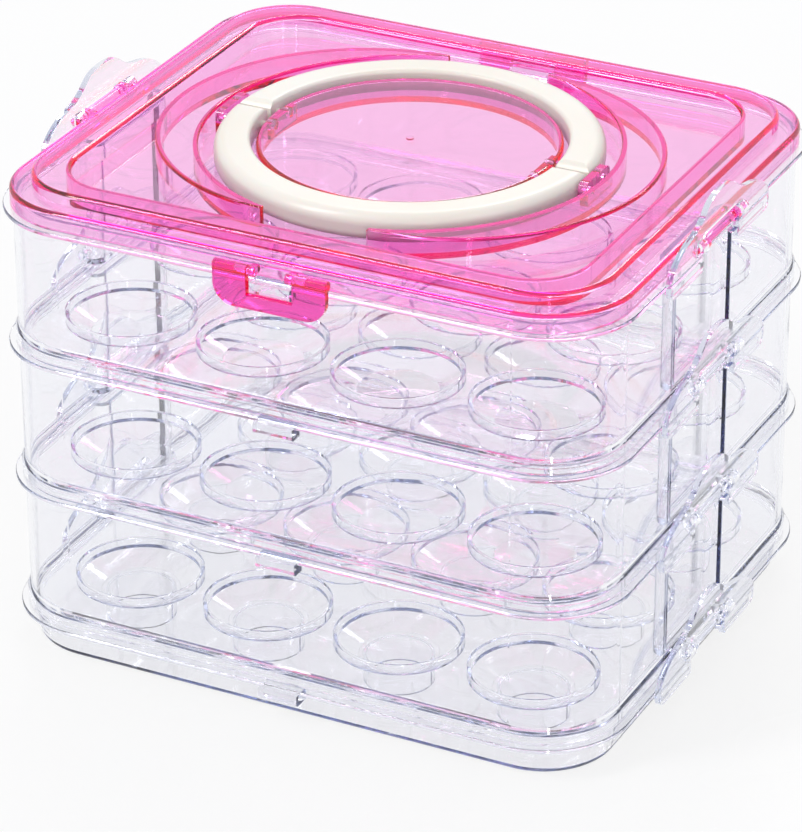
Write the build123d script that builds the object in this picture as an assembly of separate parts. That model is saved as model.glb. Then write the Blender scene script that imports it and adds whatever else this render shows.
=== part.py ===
from build123d import *
import math
import os

# Stacking keeper: a shallow base tray, three clear storey frames and a lid, each clipped to the
# piece below by a press latch on its left and right sides. Every storey stands round a tray of cups.
# Millimetres. +Z is up, the front is -Y, and the origin is the centre of the underside.

# Cups on each tray
CUP_COUNT_X = 4
CUP_COUNT_Y = 3
CUP_PITCH_X = 53.0
CUP_PITCH_Y = 62.0
CUP_INNER_R = 22.2
CUP_SHEET = 1.4
CUP_RIM_HEIGHT = 3.0
CUP_FLOOR_R = 15.0
CUP_DEPTH = 4.5
CUP_TO_WALL_X = 13.4
CUP_TO_WALL_Y = 14.9
TRAY_T = 1.6
TRAY_LIP_T = 1.2
TRAY_LIP_DEPTH = 2.0
TRAY_SEAT_GAP = 0.1

# Storeys: every outline is the wall's outer face moved out or in by a step
STOREYS = 3
STOREY_PITCH = 53.0
WALL_CORNER_R = 29.5
SHEET_T = 1.8
FLANGE_OUT = 3.5
FLANGE_T = 1.6
FLANGE_EDGE_R = 0.5
COLLAR_IN = 1.2
COLLAR_HEIGHT = 3.0
SKIRT_OUT = 1.0
SKIRT_HEIGHT = 4.5
SHOULDER_HEIGHT = 2.0
SEAT_GAP = 0.3
SLIDE_GAP = 0.4
SKIRT_LIFT = 0.5

# How far a cut runs past what it cuts
PAST = 1.0

# Base tray
BASE_HEIGHT = 11.8
BASE_TAPER = 1.8
BASE_EDGE_R = 2.4
RIB_RING_R = 13.0
RIB_RING_T = 1.2

# Latches, their rods and their pockets lie a little nearer the front
LATCH_SHIFT_Y = -7.0

# Pocket in each side wall that the upper edge of a pressed latch moves into
POCKET_HALF_Y = 24.0
POCKET_DEPTH = 5.5
POCKET_CORNER_R = 3.0

# Catch tab under the flange, front and back
TAB_HALF_X = 7.6
TAB_HEIGHT = 3.6
TAB_PAST_FLANGE = 2.2
TAB_CHAMFER = 0.9

# Press latch and the rod it rocks on
ROD_R = 1.7
ROD_HALF_Y = 19.5
ROD_FROM_FLANGE = 1.4
ROD_HEIGHT = 6.0
EAR_R = 2.6
EAR_Y = 13.2
EAR_T = 2.0
LATCH_GAP = 0.4
LATCH_T = 2.2
LATCH_BELOW = 3.5
LATCH_EDGE = [(42.5, 3.0), (40.5, 6.0), (36.0, 9.3), (28.0, 12.2), (20.0, 14.0), (15.0, 16.4), (10.0, 19.8), (5.0, 21.2)]
LATCH_TOP = 21.5
LATCH_CORNER_R = 3.0
LATCH_WINDOW_HALF_Y = 15.5
LATCH_WINDOW_TOP = 10.0
LATCH_BOSS_R = 3.2
LATCH_BOSS_T = 4.5
LATCH_BORE_GAP = 0.08
LATCH_LIP_GAP = 0.35
LATCH_LIP_T = 2.25
LATCH_LIP_BITE = 1.3

# Lid: skirt, ledge, raised band, sunk panel, disc and crescents
LID_SKIRT_HEIGHT = 6.6
LID_LEDGE = 7.0
LID_BAND_HEIGHT = 4.3
LID_BAND_X = 12.5
LID_BAND_Y = 10.5
LID_BAND_CORNER_R = 26.0
LID_PANEL_CORNER_R = 20.0
LID_PANEL_DROP = 8.5
LID_EDGE_R = 1.7
DISC_R = 54.5
GATE_R = 1.4
GATE_HEIGHT = 0.4
CRESCENT_SHIFT = 18.5
CRESCENT_NARROWER = 1.0
CRESCENT_TIP_CUT = 1.5
CRESCENT_TIP_R = 0.6
CRESCENT_EDGE_R = 0.6

# Two half-ring handles lying round the disc
HANDLE_GAP_IN = 2.0
HANDLE_WIDTH = 13.0
HANDLE_GAP_OUT = 5.5
HANDLE_PROUD = 2.0
HANDLE_FLOOR_GAP = 0.3
HANDLE_IN_R = 1.5
HANDLE_OUT_R = 4.3
HANDLE_FOOT_R = 3.4
HANDLE_MIDDLE_GAP = 0.4
HANDLE_END_FLAT = 1.8
TRUNNION_R = 1.8
TRUNNION_GAP = 0.08
TRUNNION_LENGTH = 3.0
LUG_T = 3.0
LUG_WALL = 2.4

# Flap on the front and back of the lid
FLAP_HALF_X = 21.5
FLAP_T = 2.4
FLAP_GAP = 0.5
FLAP_SIDE_GAP = 1.2
FLAP_BAR = 4.9
FLAP_CORNER_R = 8.0
FLAP_PIN_HEIGHT = 4.8
FLAP_PIN_OUT = 1.0
FLAP_PIN_R = 1.2
FLAP_PIN_GAP = 0.07
FLAP_PIN_LENGTH = 4.5
FLAP_KNUCKLE_R = 2.0
FLAP_ABOVE_PIN = 1.5
FLAP_LUG_T = 2.5
FLAP_LUG_WALL = 0.6

# Sizes that follow from those above
CUP_OUTER_R = CUP_INNER_R + CUP_SHEET
WALL_X = (CUP_COUNT_X - 1) / 2 * CUP_PITCH_X + CUP_OUTER_R + CUP_TO_WALL_X
WALL_Y = (CUP_COUNT_Y - 1) / 2 * CUP_PITCH_Y + CUP_OUTER_R + CUP_TO_WALL_Y
COLLAR_TOP = FLANGE_T + COLLAR_HEIGHT
TRAY_FOOT = COLLAR_TOP + TRAY_SEAT_GAP
TRAY_TOP = TRAY_FOOT + TRAY_T
FRAME_SEAT = TRAY_TOP + SEAT_GAP
SKIRT_FOOT = FLANGE_T + SKIRT_LIFT
SHOULDER_FOOT = SKIRT_FOOT + SKIRT_HEIGHT
SHOULDER_TOP = SHOULDER_FOOT + SHOULDER_HEIGHT
SKIRT_IN = COLLAR_IN - SLIDE_GAP
ROD_X = WALL_X + FLANGE_OUT + ROD_FROM_FLANGE
LID_Z = BASE_HEIGHT + STOREYS * STOREY_PITCH
LID_FOOT = LID_Z + FLANGE_T + SEAT_GAP
LID_LEDGE_Z = LID_FOOT + LID_SKIRT_HEIGHT
LID_TOP = LID_LEDGE_Z + LID_BAND_HEIGHT
LID_FLOOR = LID_TOP - LID_PANEL_DROP
BAND_X = WALL_X + SKIRT_OUT - LID_LEDGE
BAND_Y = WALL_Y + SKIRT_OUT - LID_LEDGE
PANEL_X = BAND_X - LID_BAND_X
PANEL_Y = BAND_Y - LID_BAND_Y
HANDLE_R_IN = DISC_R + HANDLE_GAP_IN
HANDLE_R_OUT = HANDLE_R_IN + HANDLE_WIDTH
HANDLE_TOP = LID_TOP + HANDLE_PROUD
HANDLE_FOOT = LID_FLOOR + HANDLE_FLOOR_GAP
TRUNNION_Z = (HANDLE_TOP + HANDLE_FOOT) / 2 - HANDLE_MIDDLE_GAP
TRUNNION_Y = HANDLE_TOP - TRUNNION_Z + HANDLE_MIDDLE_GAP
CRESCENT_IN_R = HANDLE_R_OUT + HANDLE_GAP_OUT
CRESCENT_OUT_R = CRESCENT_IN_R - CRESCENT_NARROWER
FLAP_Y = WALL_Y + FLANGE_OUT + FLAP_PIN_OUT
FLAP_PIN_Z = LID_Z + FLAP_PIN_HEIGHT
FLAP_INNER_Y = WALL_Y + FLANGE_OUT + FLAP_GAP
FLAP_BAR_TOP = LID_Z - TAB_HEIGHT - SEAT_GAP
FLAP_WINDOW_X = TAB_HALF_X + FLAP_SIDE_GAP


def outline(step):
    """Rounded rectangle of the wall's outer face, moved out by the step."""
    return RectangleRounded(2 * (WALL_X + step), 2 * (WALL_Y + step), WALL_CORNER_R + step)


def slab(step, low, high):
    """The outline raised from one height to another."""
    return Pos(0, 0, low) * extrude(outline(step), high - low)


def taper(step_low, step_high, low, high):
    """Slab whose outline changes evenly from its foot to its top."""
    return loft([Pos(0, 0, low) * outline(step_low), Pos(0, 0, high) * outline(step_high)], ruled=True)


def block(x, y, z):
    """Box between the two values given for each axis."""
    size = [high - low for low, high in (x, y, z)]
    return Pos(x[0], y[0], z[0]) * Box(*size, align=(Align.MIN, Align.MIN, Align.MIN))


def rod_x(x0, x1, y, z, radius):
    """Round bar along X."""
    return Pos((x0 + x1) / 2, y, z) * Rot(0, 90, 0) * Cylinder(radius, abs(x1 - x0))


def rod_y(x, y0, y1, z, radius):
    """Round bar along Y."""
    return Pos(x, (y0 + y1) / 2, z) * Rot(90, 0, 0) * Cylinder(radius, abs(y1 - y0))


def cup_spots():
    """Centres of the cups of one tray."""
    xs = [(i - (CUP_COUNT_X - 1) / 2) * CUP_PITCH_X for i in range(CUP_COUNT_X)]
    ys = [(i - (CUP_COUNT_Y - 1) / 2) * CUP_PITCH_Y for i in range(CUP_COUNT_Y)]
    return [(x, y) for x in xs for y in ys]


def joint_z(level):
    """Underside of the flange that storey number level stands on."""
    return BASE_HEIGHT + level * STOREY_PITCH


def edges_at(solid, height):
    """Edges that lie wholly at one height."""
    return solid.edges().filter_by_position(Axis.Z, height - 0.01, height + 0.01)


def catch_tabs(z_flange):
    """Tab under the flange at the middle of the front and of the back."""
    low = z_flange - TAB_HEIGHT
    outer = WALL_Y + FLANGE_OUT + TAB_PAST_FLANGE
    profile = Polyline(
        (WALL_Y - SHEET_T, low),
        (outer - TAB_CHAMFER, low),
        (outer, low + TAB_CHAMFER),
        (outer, z_flange + FLANGE_T / 2),
        (WALL_Y - SHEET_T, z_flange + FLANGE_T / 2),
        close=True,
    )
    side = Plane.YZ.offset(-TAB_HALF_X) * make_face(profile)
    tab = extrude(side, 2 * TAB_HALF_X, dir=(1, 0, 0))
    return tab + tab.rotate(Axis.Z, 180)


def latch_rods(z_flange):
    """Rod and two ears on the left and on the right skirt."""
    z = z_flange + ROD_HEIGHT
    rods = []
    for side in (-1, 1):
        rod = rod_y(side * ROD_X, LATCH_SHIFT_Y - ROD_HALF_Y, LATCH_SHIFT_Y + ROD_HALF_Y, z, ROD_R)
        rods.append(rod)
        for y in (LATCH_SHIFT_Y - EAR_Y, LATCH_SHIFT_Y + EAR_Y):
            inner, outer = sorted((side * (WALL_X + SKIRT_OUT - SHEET_T / 2), side * ROD_X))
            ear = block((inner, outer), (y - EAR_T / 2, y + EAR_T / 2), (z - EAR_R, z + EAR_R))
            rods.append(ear)
            rods.append(rod_y(side * ROD_X, y - EAR_T / 2, y + EAR_T / 2, z, EAR_R))
    return rods


def flange_and_collar(z_flange):
    """Flange that carries the next piece and the collar that centres it, still solid inside."""
    flange = slab(FLANGE_OUT, z_flange, z_flange + FLANGE_T)
    flange = fillet(edges_at(flange, z_flange) + edges_at(flange, z_flange + FLANGE_T), FLANGE_EDGE_R)
    collar = slab(-COLLAR_IN, z_flange, z_flange + COLLAR_TOP)
    return flange + collar


def base_tray():
    """Shallow tray that the whole stack stands on."""
    outer = taper(-COLLAR_IN - BASE_TAPER, -COLLAR_IN, 0, BASE_HEIGHT)
    outer = fillet(edges_at(outer, 0), BASE_EDGE_R)
    outer = outer + flange_and_collar(BASE_HEIGHT) + catch_tabs(BASE_HEIGHT)
    inner_step = -COLLAR_IN - SHEET_T
    inner = taper(inner_step - BASE_TAPER, inner_step, SHEET_T, BASE_HEIGHT)
    inner = inner + slab(inner_step, BASE_HEIGHT, BASE_HEIGHT + COLLAR_TOP + PAST)
    tray = outer - inner
    ring_top = BASE_HEIGHT + COLLAR_TOP - CUP_DEPTH - SEAT_GAP
    ring = Cylinder(RIB_RING_R, ring_top - SHEET_T / 2) - Cylinder(RIB_RING_R - RIB_RING_T, ring_top)
    for x, y in cup_spots():
        tray = tray + Pos(x, y, (ring_top + SHEET_T / 2) / 2) * ring
    return tray


def cup(z_plate):
    """One cup: an upright rim above the plate and a shallow bowl below it."""
    foot = z_plate - CUP_DEPTH
    rim = z_plate + TRAY_T + CUP_RIM_HEIGHT
    profile = Polyline(
        (0, foot),
        (CUP_FLOOR_R, foot),
        (CUP_OUTER_R, z_plate),
        (CUP_OUTER_R, rim),
        (CUP_INNER_R, rim),
        (CUP_INNER_R, z_plate + CUP_SHEET / 2),
        (CUP_FLOOR_R - CUP_SHEET / 2, foot + CUP_SHEET),
        (0, foot + CUP_SHEET),
        close=True,
    )
    return revolve(Plane.XZ * make_face(profile), Axis.Z)


def cup_tray(level):
    """Tray of cups that sits on the collar, with a lip just inside it."""
    z_plate = joint_z(level) + TRAY_FOOT
    lip_step = -COLLAR_IN - SHEET_T - SLIDE_GAP
    tray = slab(-COLLAR_IN, z_plate, z_plate + TRAY_T)
    lip = slab(lip_step, z_plate - TRAY_LIP_DEPTH, z_plate)
    tray = tray + (lip - slab(lip_step - TRAY_LIP_T, z_plate - TRAY_LIP_DEPTH - PAST, z_plate))
    one = cup(z_plate)
    middle_r = (CUP_INNER_R + CUP_OUTER_R) / 2
    for x, y in cup_spots():
        tray = tray - Pos(x, y, z_plate) * Cylinder(middle_r, 4 * TRAY_T)
        tray = tray + Pos(x, y, 0) * one
    return tray


def pockets(grow, low, high):
    """Upright pocket in the left and in the right wall, grown by a sheet for its inner face."""
    plan = RectangleRounded(2 * (POCKET_DEPTH + grow), 2 * (POCKET_HALF_Y + grow), POCKET_CORNER_R + grow)
    pocket = extrude(plan, high - low)
    return Pos(-WALL_X, LATCH_SHIFT_Y, low) * pocket + Pos(WALL_X, LATCH_SHIFT_Y, low) * pocket


def frame(level):
    """Open storey wall: skirt and shoulder over the tray below, flange and collar on top."""
    below = joint_z(level)
    above = joint_z(level + 1)
    shoulder = below + SHOULDER_TOP
    wall = slab(SKIRT_OUT, below + SKIRT_FOOT, below + SHOULDER_FOOT)
    wall = wall + taper(SKIRT_OUT, 0, below + SHOULDER_FOOT, shoulder)
    wall = wall + slab(0, shoulder, above)
    wall = wall - pockets(0, shoulder, above)
    wall = wall + flange_and_collar(above) + catch_tabs(above)
    hollow = slab(-SKIRT_IN, below + SKIRT_FOOT - PAST, below + FRAME_SEAT)
    hollow = hollow + slab(-SHEET_T, below + FRAME_SEAT, above)
    hollow = hollow + slab(-COLLAR_IN - SHEET_T, above, above + COLLAR_TOP + PAST)
    hollow = hollow - pockets(SHEET_T, shoulder - SHEET_T, above + FLANGE_T)
    wall = wall - hollow
    for piece in latch_rods(below):
        wall = wall + piece
    return wall


def latch(level, side):
    """Rocker plate: its lip hooks under the flange and its upper edge is pressed to let go."""
    z = joint_z(level)
    half = LATCH_EDGE[0][0]
    right = LATCH_EDGE
    left = [(-y, h) for y, h in reversed(LATCH_EDGE)]
    hump = Spline(*right, (0, LATCH_TOP), *left)
    rest = Polyline((-half, LATCH_EDGE[0][1]), (-half, -LATCH_BELOW), (half, -LATCH_BELOW), right[0])
    face = make_face(hump + rest)
    foot = face.vertices().sort_by(Axis.Y)[:2]
    face = fillet(foot, LATCH_CORNER_R)
    window_height = LATCH_WINDOW_TOP + LATCH_BELOW + LATCH_CORNER_R
    window = RectangleRounded(2 * LATCH_WINDOW_HALF_Y, window_height, LATCH_CORNER_R)
    face = face - Pos(0, LATCH_WINDOW_TOP - window_height / 2) * window
    inner = WALL_X + FLANGE_OUT + LATCH_GAP
    plate = Pos(inner, 0, z) * extrude(Plane.YZ * face, LATCH_T)
    rod_z = z + ROD_HEIGHT
    lip_top = z - LATCH_LIP_GAP
    lip_x = (WALL_X + FLANGE_OUT - LATCH_LIP_BITE, inner + LATCH_T / 2)
    for end in (-1, 1):
        y0, y1 = sorted((end * LATCH_WINDOW_HALF_Y, end * (LATCH_WINDOW_HALF_Y + LATCH_BOSS_T)))
        plate = plate + rod_y(ROD_X, y0, y1, rod_z, LATCH_BOSS_R)
        ends = sorted((end * LATCH_WINDOW_HALF_Y, end * (half - LATCH_CORNER_R)))
        plate = plate + block(lip_x, ends, (lip_top - LATCH_LIP_T, lip_top))
    reach = LATCH_WINDOW_HALF_Y + LATCH_BOSS_T + PAST
    plate = plate - rod_y(ROD_X, -reach, reach, rod_z, ROD_R + LATCH_BORE_GAP)
    plate = Pos(0, LATCH_SHIFT_Y, 0) * plate
    return plate if side > 0 else mirror(plate, about=Plane.YZ)


def raised(half_x, half_y, corner_r, low, high):
    """Rounded rectangle raised between two heights."""
    return Pos(0, 0, low) * extrude(RectangleRounded(2 * half_x, 2 * half_y, corner_r), high - low)


def crescents(inset, low, high):
    """Left and right crescent round the handle ring, drawn in by the inset, with blunt tips."""
    tip_x = CRESCENT_SHIFT + CRESCENT_TIP_CUT
    moon = Pos(CRESCENT_SHIFT, 0) * Circle(CRESCENT_OUT_R - inset) - Circle(CRESCENT_IN_R + inset)
    moon = Pos(0, 0, low) * extrude(moon, high - low)
    reach = 2 * CRESCENT_IN_R
    moon = moon - block((0, tip_x + inset), (-reach, reach), (low - PAST, high + PAST))
    if inset == 0:
        moon = fillet(moon.edges().filter_by(Axis.Z), CRESCENT_TIP_R)
    return [moon, moon.rotate(Axis.Z, 180)]


def lid_skin():
    """Outer shape of the lid, still solid below."""
    skirt = slab(SKIRT_OUT, LID_FOOT, LID_LEDGE_Z)
    skirt = fillet(edges_at(skirt, LID_LEDGE_Z), LID_EDGE_R)
    band = raised(BAND_X, BAND_Y, LID_BAND_CORNER_R, LID_FOOT, LID_TOP)
    band = band - raised(PANEL_X, PANEL_Y, LID_PANEL_CORNER_R, LID_FLOOR, LID_TOP + PAST)
    band = fillet(edges_at(band, LID_TOP), LID_EDGE_R)
    panel = raised(PANEL_X, PANEL_Y, LID_PANEL_CORNER_R, LID_FLOOR, LID_TOP + PAST)
    skin = (skirt - panel) + band
    disc = Pos(0, 0, LID_FLOOR - SHEET_T) * extrude(Circle(DISC_R), LID_PANEL_DROP + SHEET_T)
    disc = fillet(edges_at(disc, LID_TOP), LID_EDGE_R)
    skin = skin + disc
    for moon in crescents(0, LID_FLOOR - SHEET_T, LID_TOP):
        skin = skin + fillet(edges_at(moon, LID_TOP), CRESCENT_EDGE_R)
    return skin


def lid_hollow():
    """Space under the lid's sheet."""
    under = LID_FLOOR - SHEET_T
    hollow = slab(-SKIRT_IN, LID_FOOT - PAST, LID_LEDGE_Z - SHEET_T)
    band_in = LID_BAND_CORNER_R - SHEET_T
    hollow = hollow + raised(BAND_X - SHEET_T, BAND_Y - SHEET_T, band_in, LID_FOOT, LID_TOP - SHEET_T)
    sunk = raised(PANEL_X + SHEET_T, PANEL_Y + SHEET_T, LID_PANEL_CORNER_R + SHEET_T, under, LID_TOP)
    hollow = hollow - sunk
    hollow = hollow + Pos(0, 0, under - PAST) * extrude(Circle(DISC_R - SHEET_T), LID_PANEL_DROP + PAST)
    for moon in crescents(SHEET_T, under - PAST, LID_TOP - SHEET_T):
        hollow = hollow + moon
    return hollow


def handle_sockets():
    """Blocks inside the disc wall and lugs outside the ring that carry the handle trunnions."""
    inner = HANDLE_R_IN - TRUNNION_LENGTH - LUG_T
    half_y = TRUNNION_Y + TRUNNION_R + LUG_WALL
    lug_x = HANDLE_R_OUT + SLIDE_GAP
    pieces = []
    for side in (-1, 1):
        xs = sorted((side * inner, side * (DISC_R - SHEET_T)))
        top = LID_TOP - SHEET_T / 2
        pieces.append(block(xs, (-half_y, half_y), (TRUNNION_Z - TRUNNION_R - LUG_WALL, top)))
        xs = sorted((side * lug_x, side * (lug_x + LUG_T)))
        lug = block(xs, (-half_y, half_y), (LID_FLOOR - SHEET_T / 2, TRUNNION_Z + TRUNNION_R + LUG_WALL))
        top_edges = lug.edges().filter_by(Axis.X).group_by(Axis.Z)[-1]
        pieces.append(fillet(top_edges, LUG_WALL))
    return pieces


def trunnions(y, radius, extra):
    """Four round bars on one handle's hinge line, longer by extra at their tips."""
    bars = []
    for side in (-1, 1):
        tip = HANDLE_R_IN - TRUNNION_LENGTH - HANDLE_GAP_IN - extra
        bars.append(rod_x(side * tip, side * (HANDLE_R_IN + HANDLE_WIDTH / 4), y, TRUNNION_Z, radius))
        tip = HANDLE_R_OUT + TRUNNION_LENGTH + extra
        bars.append(rod_x(side * (HANDLE_R_OUT - HANDLE_WIDTH / 4), side * tip, y, TRUNNION_Z, radius))
    return bars


def flap_lugs():
    """Two lugs with pin stubs that carry the flap, on the front and on the back skirt."""
    root = WALL_Y + SKIRT_OUT - SHEET_T / 2
    pieces = []
    for end in (-1, 1):
        ys = sorted((end * root, end * FLAP_Y))
        for side in (-1, 1):
            outer = FLAP_WINDOW_X - SEAT_GAP
            xs = sorted((side * outer, side * (outer - FLAP_LUG_T)))
            low, high = FLAP_PIN_Z - FLAP_PIN_R, FLAP_PIN_Z + FLAP_PIN_R
            pieces.append(block(xs, ys, (low, high)))
            pieces.append(rod_x(xs[0], xs[1], end * FLAP_Y, FLAP_PIN_Z, FLAP_PIN_R + FLAP_LUG_WALL))
            tip = FLAP_WINDOW_X + FLAP_PIN_LENGTH
            pieces.append(rod_x(side * outer, side * tip, end * FLAP_Y, FLAP_PIN_Z, FLAP_PIN_R))
    return pieces


def lid():
    """Tinted lid with its latch rods, handle sockets and flap lugs."""
    piece = lid_skin() - lid_hollow()
    for part in handle_sockets():
        piece = piece + part
    for y in (-TRUNNION_Y, TRUNNION_Y):
        for bore in trunnions(y, TRUNNION_R + TRUNNION_GAP, LUG_T / 2):
            piece = piece - bore
    for part in latch_rods(LID_Z) + flap_lugs():
        piece = piece + part
    gate = Pos(0, 0, LID_TOP) * Cylinder(GATE_R, 2 * GATE_HEIGHT)
    return piece + gate


def handle(end):
    """Half ring with a trunnion at each side of both tips; end is -1 in front and 1 behind."""
    low, high = HANDLE_FOOT, HANDLE_TOP
    section = Pos((HANDLE_R_IN + HANDLE_R_OUT) / 2, (low + high) / 2) * Rectangle(HANDLE_WIDTH, high - low)
    section = fillet(section.vertices().group_by(Axis.Y)[-1].sort_by(Axis.X)[-1], HANDLE_OUT_R)
    section = fillet(section.vertices().group_by(Axis.Y)[-1].sort_by(Axis.X)[0], HANDLE_IN_R)
    section = fillet(section.vertices().group_by(Axis.Y)[0], HANDLE_FOOT_R)
    ring = revolve(Plane.XZ * section, Axis.Z)
    up = high - TRUNNION_Z
    down = TRUNNION_Z - low
    front = down
    top_r = math.hypot(HANDLE_END_FLAT, up)
    meet = math.sqrt(top_r ** 2 - front ** 2)
    far = 2 * HANDLE_R_OUT
    corner = math.sqrt(0.5)
    mid = ((HANDLE_END_FLAT + front) / 2, (up + meet) / 2)
    bulge = top_r / math.hypot(*mid)
    path = Line((-far, up), (HANDLE_END_FLAT, up))
    path += ThreePointArc((HANDLE_END_FLAT, up), (mid[0] * bulge, mid[1] * bulge), (front, meet))
    path += Line((front, meet), (front, 0))
    path += ThreePointArc((front, 0), (front * corner, -down * corner), (0, -down))
    path += Polyline((0, -down), (-far, -down), (-far, up))
    side = Plane.YZ.offset(-far) * Pos(-TRUNNION_Y, TRUNNION_Z) * make_face(path)
    half = ring & extrude(side, 2 * far, dir=(1, 0, 0))
    for bar in trunnions(-TRUNNION_Y, TRUNNION_R, 0):
        half = half + bar
    return half if end < 0 else half.rotate(Axis.Z, 180)


def flap(end):
    """U-shaped flap that hangs over the catch tab; end is -1 in front and 1 behind."""
    top = FLAP_PIN_Z + FLAP_ABOVE_PIN
    low = FLAP_BAR_TOP - FLAP_BAR
    plan = Pos(0, (top + low) / 2) * Rectangle(2 * FLAP_HALF_X, top - low)
    plan = fillet(plan.vertices().group_by(Axis.Y)[0], FLAP_CORNER_R)
    plan = plan - Pos(0, (top + FLAP_BAR_TOP) / 2 + PAST) * Rectangle(2 * FLAP_WINDOW_X, top - FLAP_BAR_TOP + 2 * PAST)
    plate = extrude(Plane.XZ * plan, FLAP_T)
    plate = Pos(0, -FLAP_INNER_Y, 0) * plate
    for side in (-1, 1):
        xs = (side * FLAP_WINDOW_X, side * FLAP_HALF_X)
        plate = plate + rod_x(*xs, -FLAP_Y, FLAP_PIN_Z, FLAP_KNUCKLE_R)
        tip = FLAP_WINDOW_X + FLAP_PIN_LENGTH + SEAT_GAP
        plate = plate - rod_x(side * (FLAP_WINDOW_X - PAST), side * tip, -FLAP_Y, FLAP_PIN_Z, FLAP_PIN_R + FLAP_PIN_GAP)
    return plate if end < 0 else plate.rotate(Axis.Z, 180)


def pieces():
    """Every piece by name."""
    made = {"base_tray": base_tray(), "lid": lid()}
    for level in range(STOREYS):
        made[f"cup_tray_{level + 1}"] = cup_tray(level)
        made[f"frame_{level + 1}"] = frame(level)
    for level in range(STOREYS + 1):
        made[f"latch_{level + 1}_left"] = latch(level, -1)
        made[f"latch_{level + 1}_right"] = latch(level, 1)
    made["handle_front"] = handle(-1)
    made["handle_back"] = handle(1)
    made["flap_front"] = flap(-1)
    made["flap_back"] = flap(1)
    return made


os.makedirs("parts", exist_ok=True)
for name, shape in pieces().items():
    export_step(shape, f"parts/{name}.step")
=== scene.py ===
import math

import bpy
from mathutils import Matrix, Vector

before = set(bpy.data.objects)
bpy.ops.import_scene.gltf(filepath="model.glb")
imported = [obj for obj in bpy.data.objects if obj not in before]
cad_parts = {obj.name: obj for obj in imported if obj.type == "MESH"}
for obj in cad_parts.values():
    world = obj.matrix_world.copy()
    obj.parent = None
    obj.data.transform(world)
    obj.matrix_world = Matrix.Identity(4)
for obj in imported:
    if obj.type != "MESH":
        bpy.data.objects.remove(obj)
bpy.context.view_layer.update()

bl_info = {
    "name": "Stacking keeper finishes",
    "version": (1, 0, 0),
    "blender": (4, 5, 0),
    "location": "View3D > Sidebar > Keeper",
    "description": "Finishes, stage and camera for a clear stacking keeper with a tinted lid",
    "category": "Object",
}

MM = 0.001
CLEAR_NAME = "Crystal polystyrene, moulded clear"
POLYSTYRENE_IOR = 1.57
ABS_IOR = 1.53
LACQUER_IOR = 1.45
# Share of the floor that shows plain white to the eye, so that the rest keeps the object's shadow
FLOOR_WHITE_SHARE = 0.82
# Just under the object's feet, so that the two faces never coincide
FLOOR_DROP = 0.2 * MM
LAMP_AIM = (0, 0, 0.1)
# Name, place, width and height in metres, watts
LAMPS = (
    ("key softbox", (-1.1, -1.3, 1.9), (0.4, 1.3), 22),
    ("fill softbox", (1.6, -0.5, 1.4), (1.0, 1.0), 5),
    ("back strip", (-0.3, 1.7, 1.5), (1.4, 0.25), 10),
    ("corner strip", (1.1, -1.7, 0.55), (0.1, 1.1), 5),
)


def linear(code):
    """Linear colour of an sRGB hex value such as FF8800."""
    values = [int(code[i:i + 2], 16) / 255 for i in (0, 2, 4)]
    return [v / 12.92 if v <= 0.04045 else ((v + 0.055) / 1.055) ** 2.4 for v in values]


def add_node(tree, kind, settings=None, links=None):
    """Adds a node; a setting or link is named for the node's property or its input socket."""
    node = tree.nodes.new(kind)
    for name, value in (settings or {}).items():
        if name in node.inputs:
            node.inputs[name].default_value = value
        else:
            setattr(node, name, value)
    for name, source in (links or {}).items():
        tree.links.new(source, node.inputs[name])
    return node


def new_material(name):
    """Empty node material and its tree with an output."""
    material = bpy.data.materials.new(name)
    material.use_nodes = True
    tree = material.node_tree
    tree.nodes.clear()
    output = tree.nodes.new("ShaderNodeOutputMaterial")
    return material, tree, output


def styrene(name, base, haze_most, tint, density, wave_mm, height_mm, strength):
    """Transparent polystyrene with slow waves, as where a moulded sheet has cooled unevenly."""
    material, tree, output = new_material(name)
    place = add_node(tree, "ShaderNodeTexCoord")
    waves = add_node(tree, "ShaderNodeTexNoise", {"Scale": 1 / (wave_mm * MM), "Detail": 2.0, "Roughness": 0.45},
                     {"Vector": place.outputs["Object"]})
    bump = add_node(tree, "ShaderNodeBump", {"Strength": strength, "Distance": height_mm * MM},
                    {"Height": waves.outputs["Fac"]})
    haze = add_node(tree, "ShaderNodeMapRange", {"To Min": 0.0, "To Max": haze_most}, {"Value": waves.outputs["Fac"]})
    shader = add_node(tree, "ShaderNodeBsdfPrincipled",
                      {"Base Color": (*linear(base), 1), "IOR": POLYSTYRENE_IOR, "Transmission Weight": 1.0},
                      {"Roughness": haze.outputs["Result"], "Normal": bump.outputs["Normal"]})
    depth = add_node(tree, "ShaderNodeVolumeAbsorption", {"Color": (*linear(tint), 1), "Density": density})
    tree.links.new(shader.outputs["BSDF"], output.inputs["Surface"])
    tree.links.new(depth.outputs["Volume"], output.inputs["Volume"])
    return material


def clear_styrene(settings):
    """Crystal polystyrene, injection moulded."""
    # Water-clear faces, blue-grey where light runs along the sheet, slightly wavy gloss.
    return styrene(CLEAR_NAME, "FEFEFF", 0.03, settings.clear_tint, settings.clear_density,
                   wave_mm=26.0, height_mm=0.25, strength=0.35)


def tinted_styrene(name, tint, density):
    """Polystyrene dyed right through, injection moulded."""
    # Pale where the sheet is seen square on, saturated magenta along ribs and edges.
    return styrene(name, "FFFDFE", 0.04, tint, density, wave_mm=30.0, height_mm=0.2, strength=0.3)


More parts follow.
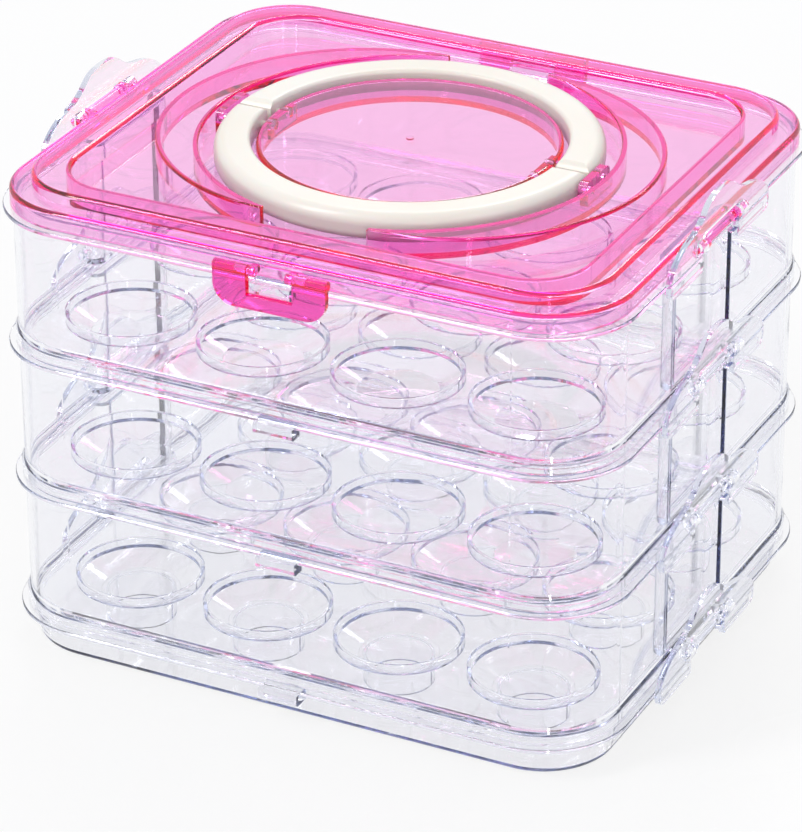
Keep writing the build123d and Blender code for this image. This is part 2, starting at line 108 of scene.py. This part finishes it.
def ivory_abs(settings):
    """ABS, injection moulded with a satin tool finish."""
    # Warm white with a soft sheen, a shade creamier in patches, and a grain too fine to see from afar.
    material, tree, output = new_material("ABS, moulded ivory")
    place = add_node(tree, "ShaderNodeTexCoord")
    patch = add_node(tree, "ShaderNodeTexNoise", {"Scale": 1 / (35 * MM), "Detail": 1.0},
                     {"Vector": place.outputs["Object"]})
    colour = add_node(tree, "ShaderNodeMix", {"data_type": "RGBA"}, {"Factor": patch.outputs["Fac"]})
    colour.inputs[6].default_value = (*linear(settings.ivory_light), 1)
    colour.inputs[7].default_value = (*linear(settings.ivory_warm), 1)
    # Spark-eroded grain is about 0.1 mm; drawn at 0.6 mm, so that it shows at all.
    grain = add_node(tree, "ShaderNodeTexNoise", {"Scale": 1 / (0.6 * MM), "Detail": 2.0},
                     {"Vector": place.outputs["Object"]})
    bump = add_node(tree, "ShaderNodeBump", {"Strength": 0.08, "Distance": 0.03 * MM},
                    {"Height": grain.outputs["Fac"]})
    gloss = add_node(tree, "ShaderNodeMapRange", {"To Min": 0.26, "To Max": 0.34}, {"Value": grain.outputs["Fac"]})
    shader = add_node(tree, "ShaderNodeBsdfPrincipled",
                      {"IOR": ABS_IOR, "Subsurface Weight": 0.12, "Subsurface Scale": 2 * MM},
                      {"Base Color": colour.outputs[2], "Roughness": gloss.outputs["Result"],
                       "Normal": bump.outputs["Normal"]})
    tree.links.new(shader.outputs["BSDF"], output.inputs["Surface"])
    return material


def seen_ray(tree):
    """Output that is 1 where the camera looks, also through clear plastic or in its inner reflections."""
    path = add_node(tree, "ShaderNodeLightPath")
    through = add_node(tree, "ShaderNodeMath", {"operation": "MAXIMUM"})
    tree.links.new(path.outputs["Is Camera Ray"], through.inputs[0])
    tree.links.new(path.outputs["Is Transmission Ray"], through.inputs[1])
    seen = add_node(tree, "ShaderNodeMath", {"operation": "MAXIMUM"})
    tree.links.new(through.outputs[0], seen.inputs[0])
    tree.links.new(path.outputs["Is Glossy Ray"], seen.inputs[1])
    return seen.outputs[0]


def table_white():
    """Lacquered white board under the keeper."""
    # Even white that keeps the contact shadow and gives a faint reflection of the base.
    material, tree, output = new_material("Lacquered board, white")
    place = add_node(tree, "ShaderNodeTexCoord")
    mottle = add_node(tree, "ShaderNodeTexNoise", {"Scale": 1 / (120 * MM)}, {"Vector": place.outputs["Object"]})
    gloss = add_node(tree, "ShaderNodeMapRange", {"To Min": 0.22, "To Max": 0.3}, {"Value": mottle.outputs["Fac"]})
    board = add_node(tree, "ShaderNodeBsdfPrincipled", {"Base Color": (*linear("FBFBFA"), 1), "IOR": LACQUER_IOR},
                     {"Roughness": gloss.outputs["Result"]})
    glow = add_node(tree, "ShaderNodeEmission", {"Color": (1, 1, 1, 1), "Strength": 1.0})
    share = add_node(tree, "ShaderNodeMath", {"operation": "MULTIPLY"})
    tree.links.new(seen_ray(tree), share.inputs[0])
    share.inputs[1].default_value = FLOOR_WHITE_SHARE
    mixed = add_node(tree, "ShaderNodeMixShader", links={"Fac": share.outputs[0]})
    tree.links.new(board.outputs["BSDF"], mixed.inputs[1])
    tree.links.new(glow.outputs["Emission"], mixed.inputs[2])
    tree.links.new(mixed.outputs["Shader"], output.inputs["Surface"])
    return material


def finish_nodes(names, material):
    """Gives CAD nodes a material."""
    for name in names:
        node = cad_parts[name]
        node.data.materials.clear()
        node.data.materials.append(material)


def nodes_like(start):
    """Names of the nodes that begin with a word."""
    return [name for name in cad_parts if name.startswith(start)]


def clear_material(settings):
    """The clear plastic, made once."""
    return bpy.data.materials.get(CLEAR_NAME) or clear_styrene(settings)


class KeeperFinishes(bpy.types.PropertyGroup):
    clear_tint: bpy.props.StringProperty(
        name="Clear tint", description="sRGB hex colour that a long way through the clear plastic leaves",
        default="577CC0")
    clear_density: bpy.props.FloatProperty(
        name="Clear density", description="How fast the clear plastic absorbs, per metre", default=12.5, min=0)
    pink_tint: bpy.props.StringProperty(
        name="Pink tint", description="sRGB hex colour of the dye in the lid", default="FE33DF")
    flap_density: bpy.props.FloatProperty(
        name="Flap density", description="How fast the flaps' stronger dye absorbs, per metre", default=950.0, min=0)
    pink_density: bpy.props.FloatProperty(
        name="Pink density", description="How fast the lid's dye absorbs, per metre", default=285.0, min=0)
    ivory_light: bpy.props.StringProperty(
        name="Ivory light", description="sRGB hex colour of the handles", default="FCF9F1")
    ivory_warm: bpy.props.StringProperty(
        name="Ivory warm", description="sRGB hex colour of the handles' creamier patches", default="F4ECDD")


class KeeperStage(bpy.types.PropertyGroup):
    floor_half: bpy.props.FloatProperty(
        name="Floor half size", description="Half the side of the square floor", default=4.0, unit="LENGTH")
    camera_at: bpy.props.FloatVectorProperty(
        name="Camera place", description="Where the camera stands", default=(0.6407, -1.2835, 0.8271), unit="LENGTH")
    azimuth: bpy.props.FloatProperty(
        name="Azimuth", description="Way round the object", default=math.radians(26.67), subtype="ANGLE")
    elevation: bpy.props.FloatProperty(
        name="Elevation", description="Height above the horizon", default=math.radians(27.74), subtype="ANGLE")
    roll: bpy.props.FloatProperty(
        name="Roll", description="Turn about the line of sight", default=math.radians(-0.23), subtype="ANGLE")
    sheets_crossed: bpy.props.IntProperty(
        name="Faces crossed", description="How many faces of clear sheet a ray may pass", default=64, min=12)
    lens: bpy.props.FloatProperty(
        name="Lens", description="Focal length on a 36 mm sensor", default=199.2, unit="CAMERA")


class KEEPER_OT_walls(bpy.types.Operator):
    """Gives the base tray and the storey frames their clear plastic"""
    bl_idname = "keeper.walls"
    bl_label = "Base and storey walls"

    def execute(self, context):
        finish_nodes(nodes_like("base_tray") + nodes_like("frame_"), clear_material(context.scene.keeper_finishes))
        return {"FINISHED"}


class KEEPER_OT_trays(bpy.types.Operator):
    """Gives the cup trays their clear plastic"""
    bl_idname = "keeper.trays"
    bl_label = "Cup trays"

    def execute(self, context):
        finish_nodes(nodes_like("cup_tray_"), clear_material(context.scene.keeper_finishes))
        return {"FINISHED"}


class KEEPER_OT_latches(bpy.types.Operator):
    """Gives the side latches their clear plastic"""
    bl_idname = "keeper.latches"
    bl_label = "Side latches"

    def execute(self, context):
        finish_nodes(nodes_like("latch_"), clear_material(context.scene.keeper_finishes))
        return {"FINISHED"}


class KEEPER_OT_lid(bpy.types.Operator):
    """Gives the lid its tinted plastic"""
    bl_idname = "keeper.lid"
    bl_label = "Lid"

    def execute(self, context):
        finish = context.scene.keeper_finishes
        finish_nodes(["lid"], tinted_styrene("Dyed polystyrene, moulded pink", finish.pink_tint, finish.pink_density))
        return {"FINISHED"}


class KEEPER_OT_flaps(bpy.types.Operator):
    """Gives the front and back flaps their deeper tinted plastic"""
    bl_idname = "keeper.flaps"
    bl_label = "Flaps"

    def execute(self, context):
        finish = context.scene.keeper_finishes
        deep = tinted_styrene("Dyed polystyrene, deep pink", finish.pink_tint, finish.flap_density)
        finish_nodes(nodes_like("flap_"), deep)
        return {"FINISHED"}


class KEEPER_OT_handles(bpy.types.Operator):
    """Gives the two half-ring handles their ivory plastic"""
    bl_idname = "keeper.handles"
    bl_label = "Handles"

    def execute(self, context):
        finish_nodes(nodes_like("handle_"), ivory_abs(context.scene.keeper_finishes))
        return {"FINISHED"}


def soft_lamp(name, place, aim, size, power):
    """Oblong area lamp turned towards a point."""
    lamp = bpy.data.lights.new(name, "AREA")
    lamp.shape = "RECTANGLE"
    lamp.size, lamp.size_y = size
    lamp.energy = power
    holder = bpy.data.objects.new(name, lamp)
    holder.location = place
    holder.rotation_mode = "QUATERNION"
    holder.rotation_quaternion = (Vector(aim) - Vector(place)).to_track_quat("-Z", "Y")
    bpy.context.scene.collection.objects.link(holder)


def white_surroundings():
    """World that lights evenly and looks white to the camera and through clear plastic."""
    world = bpy.data.worlds.new("White studio")
    bpy.context.scene.world = world
    world.use_nodes = True
    tree = world.node_tree
    tree.nodes.clear()
    output = tree.nodes.new("ShaderNodeOutputWorld")
    light = add_node(tree, "ShaderNodeBackground", {"Color": (*linear("F6F7FF"), 1), "Strength": 0.55})
    white = add_node(tree, "ShaderNodeBackground", {"Color": (1, 1, 1, 1), "Strength": 1.0})
    mixed = add_node(tree, "ShaderNodeMixShader", links={"Fac": seen_ray(tree)})
    tree.links.new(light.outputs["Background"], mixed.inputs[1])
    tree.links.new(white.outputs["Background"], mixed.inputs[2])
    tree.links.new(mixed.outputs["Shader"], output.inputs["Surface"])


class KEEPER_OT_stage(bpy.types.Operator):
    """Sets up the floor, the light and the camera"""
    bl_idname = "keeper.stage"
    bl_label = "Stage"

    def execute(self, context):
        stage = context.scene.keeper_stage
        half = stage.floor_half
        mesh = bpy.data.meshes.new("floor")
        mesh.from_pydata([(-half, -half, 0), (half, -half, 0), (half, half, 0), (-half, half, 0)], [], [(0, 1, 2, 3)])
        floor = bpy.data.objects.new("floor", mesh)
        floor.data.materials.append(table_white())
        context.scene.collection.objects.link(floor)
        floor.location.z = -FLOOR_DROP
        white_surroundings()
        for name, place, size, power in LAMPS:
            soft_lamp(name, place, LAMP_AIM, size, power)
        lens = bpy.data.cameras.new("photo view")
        lens.sensor_fit = "HORIZONTAL"
        lens.sensor_width = 36
        lens.lens = stage.lens
        lens.clip_start = 0.01
        camera = bpy.data.objects.new("photo view", lens)
        az, el, roll = stage.azimuth, stage.elevation, stage.roll
        back = Vector((math.sin(az) * math.cos(el), -math.cos(az) * math.cos(el), math.sin(el)))
        right = Vector((math.cos(az), math.sin(az), 0))
        up = back.cross(right)
        side = right * math.cos(roll) + up * math.sin(roll)
        top = up * math.cos(roll) - right * math.sin(roll)
        turn = Matrix((side, top, back)).transposed()
        camera.matrix_world = Matrix.Translation(stage.camera_at) @ turn.to_4x4()
        context.scene.collection.objects.link(camera)
        context.scene.camera = camera
        context.scene.view_settings.view_transform = "Standard"
        # Light crosses many clear sheets before it leaves the stack
        for limit in ("max_bounces", "glossy_bounces", "transmission_bounces", "transparent_max_bounces"):
            setattr(context.scene.cycles, limit, stage.sheets_crossed)
        return {"FINISHED"}


class KEEPER_PT_panel(bpy.types.Panel):
    """Lists the steps that dress the keeper"""
    bl_idname = "KEEPER_PT_panel"
    bl_label = "Keeper"
    bl_space_type = "VIEW_3D"
    bl_region_type = "UI"
    bl_category = "Keeper"

    def draw(self, context):
        column = self.layout.column()
        # One button for each group of pieces and one for the stage, then their settings
        for operator in OPERATORS:
            column.operator(operator.bl_idname)
        for group in (context.scene.keeper_finishes, context.scene.keeper_stage):
            for name in group.bl_rna.properties.keys():
                if name not in ("rna_type", "name"):
                    column.prop(group, name)


OPERATORS = (KEEPER_OT_walls, KEEPER_OT_trays, KEEPER_OT_latches, KEEPER_OT_lid, KEEPER_OT_flaps,
             KEEPER_OT_handles, KEEPER_OT_stage)
CLASSES = (KeeperFinishes, KeeperStage) + OPERATORS + (KEEPER_PT_panel,)


def register():
    for cls in CLASSES:
        bpy.utils.register_class(cls)
    bpy.types.Scene.keeper_finishes = bpy.props.PointerProperty(type=KeeperFinishes)
    bpy.types.Scene.keeper_stage = bpy.props.PointerProperty(type=KeeperStage)


def unregister():
    del bpy.types.Scene.keeper_stage
    del bpy.types.Scene.keeper_finishes
    for cls in reversed(CLASSES):
        bpy.utils.unregister_class(cls)


def main():
    register()
    for operator in OPERATORS:
        group, name = operator.bl_idname.split(".")
        getattr(getattr(bpy.ops, group), name)()


if __name__ == "__main__":
    main()
